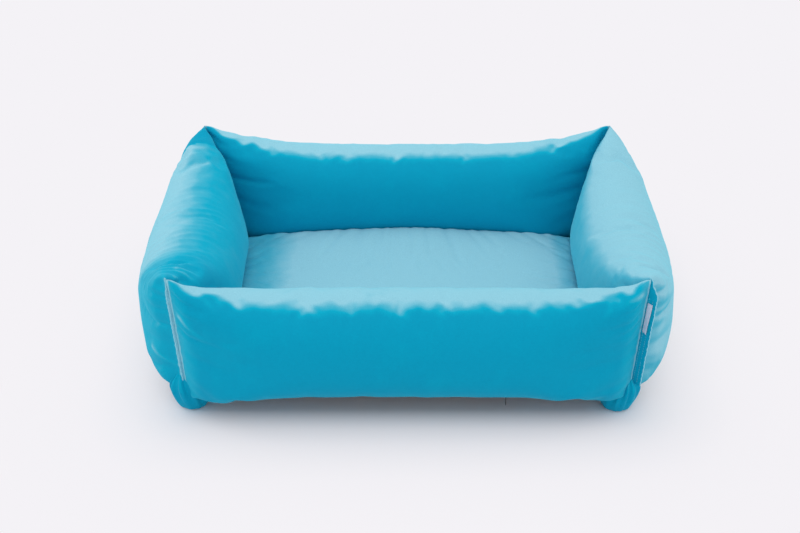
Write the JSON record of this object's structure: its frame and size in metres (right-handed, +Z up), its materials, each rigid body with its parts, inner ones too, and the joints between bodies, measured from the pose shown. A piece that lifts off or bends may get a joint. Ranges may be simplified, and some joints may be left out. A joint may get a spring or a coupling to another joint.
{
  "type": "pet bed",
  "caption": "Rectangular velvet pet bed: stuffed bolsters with pointed pinched corners round a loose flat cushion, zipped covers and a cloth base.",
  "frame": {"origin": "on the floor under the middle of the bed", "axes": "+Z up, +X to the bed's right seen from the front, -Y towards the front"},
  "size_m": [0.8112, 0.641, 0.233],
  "materials": {
    "velvet": "turquoise velvet with a short nap",
    "lining": "white non-woven lining",
    "stuffing": "white polyester fibre",
    "base_cloth": "dark woven non-slip cloth",
    "label": "blank woven tape",
    "zip_tape": "woven tape",
    "zip_teeth": "nylon coil",
    "zip_metal": "plated zinc"
  },
  "bodies": {
    "root": {"front_bolster_cover": "velvet", "front_bolster_inner_case": "lining", "front_bolster_filling": "stuffing", "rear_bolster_cover": "velvet", "rear_bolster_inner_case": "lining", "rear_bolster_filling": "stuffing", "left_bolster_cover": "velvet", "left_bolster_inner_case": "lining", "left_bolster_filling": "stuffing", "right_bolster_cover": "velvet", "right_bolster_inner_case": "lining", "right_bolster_filling": "stuffing", "front_right_corner_seam": "velvet", "front_left_corner_seam": "velvet", "rear_right_corner_seam": "velvet", "rear_left_corner_seam": "velvet", "side_label": "label", "base_cloth": "base_cloth", "front_zip_tapes": "zip_tape", "front_zip_teeth": "zip_teeth", "front_zip_stops": "zip_metal", "rear_zip_tapes": "zip_tape", "rear_zip_teeth": "zip_teeth", "rear_zip_stops": "zip_metal", "left_zip_tapes": "zip_tape", "left_zip_teeth": "zip_teeth", "left_zip_stops": "zip_metal", "right_zip_tapes": "zip_tape", "right_zip_teeth": "zip_teeth", "right_zip_stops": "zip_metal"},
    "cushion": {"cushion_upper_cover": "velvet", "cushion_lower_cover": "velvet", "cushion_inner_case": "lining", "cushion_filling": "stuffing", "cushion_zip_tapes": "zip_tape", "cushion_zip_teeth": "zip_teeth", "cushion_zip_stops": "zip_metal"},
    "front_zip_slider": {"front_zip_slider": "zip_metal"},
    "front_zip_pull": {"front_zip_pull": "zip_metal"},
    "rear_zip_slider": {"rear_zip_slider": "zip_metal"},
    "rear_zip_pull": {"rear_zip_pull": "zip_metal"},
    "left_zip_slider": {"left_zip_slider": "zip_metal"},
    "left_zip_pull": {"left_zip_pull": "zip_metal"},
    "right_zip_slider": {"right_zip_slider": "zip_metal"},
    "right_zip_pull": {"right_zip_pull": "zip_metal"},
    "cushion_zip_slider": {"cushion_zip_slider": "zip_metal"},
    "cushion_zip_pull": {"cushion_zip_pull": "zip_metal"}
  },
  "joints": [
    {"name": "cushion_lift", "type": "slide", "parent": "root", "child": "cushion", "axis": [0, 0, 1], "range_m": [0, 0.25]},
    {"name": "front_zip_slide", "type": "slide", "parent": "root", "child": "front_zip_slider", "axis": [-1, 0, 0], "range_m": [0, 0.286]},
    {"name": "front_pull_swing", "type": "hinge", "parent": "front_zip_slider", "child": "front_zip_pull", "pos_m": [0.143, -0.242, 0.033], "axis": [0, 1, 0], "range_deg": [-80, 80]},
    {"name": "rear_zip_slide", "type": "slide", "parent": "root", "child": "rear_zip_slider", "axis": [1, 0, 0], "range_m": [0, 0.286]},
    {"name": "rear_pull_swing", "type": "hinge", "parent": "rear_zip_slider", "child": "rear_zip_pull", "pos_m": [-0.143, 0.242, 0.033], "axis": [0, 1, 0], "range_deg": [-80, 80]},
    {"name": "left_zip_slide", "type": "slide", "parent": "root", "child": "left_zip_slider", "axis": [0, 1, 0], "range_m": [0, 0.156]},
    {"name": "left_pull_swing", "type": "hinge", "parent": "left_zip_slider", "child": "left_zip_pull", "pos_m": [-0.327, -0.078, 0.033], "axis": [1, 0, 0], "range_deg": [-80, 80]},
    {"name": "right_zip_slide", "type": "slide", "parent": "root", "child": "right_zip_slider", "axis": [0, -1, 0], "range_m": [0, 0.156]},
    {"name": "right_pull_swing", "type": "hinge", "parent": "right_zip_slider", "child": "right_zip_pull", "pos_m": [0.327, 0.078, 0.033], "axis": [1, 0, 0], "range_deg": [-80, 80]},
    {"name": "cushion_zip_slide", "type": "slide", "parent": "cushion", "child": "cushion_zip_slider", "axis": [-1, 0, 0], "range_m": [0, 0.236]},
    {"name": "cushion_pull_swing", "type": "hinge", "parent": "cushion_zip_slider", "child": "cushion_zip_pull", "pos_m": [0.118, 0.161, 0.026], "axis": [0, 0, -1], "range_deg": [0, 160]}
  ]
}
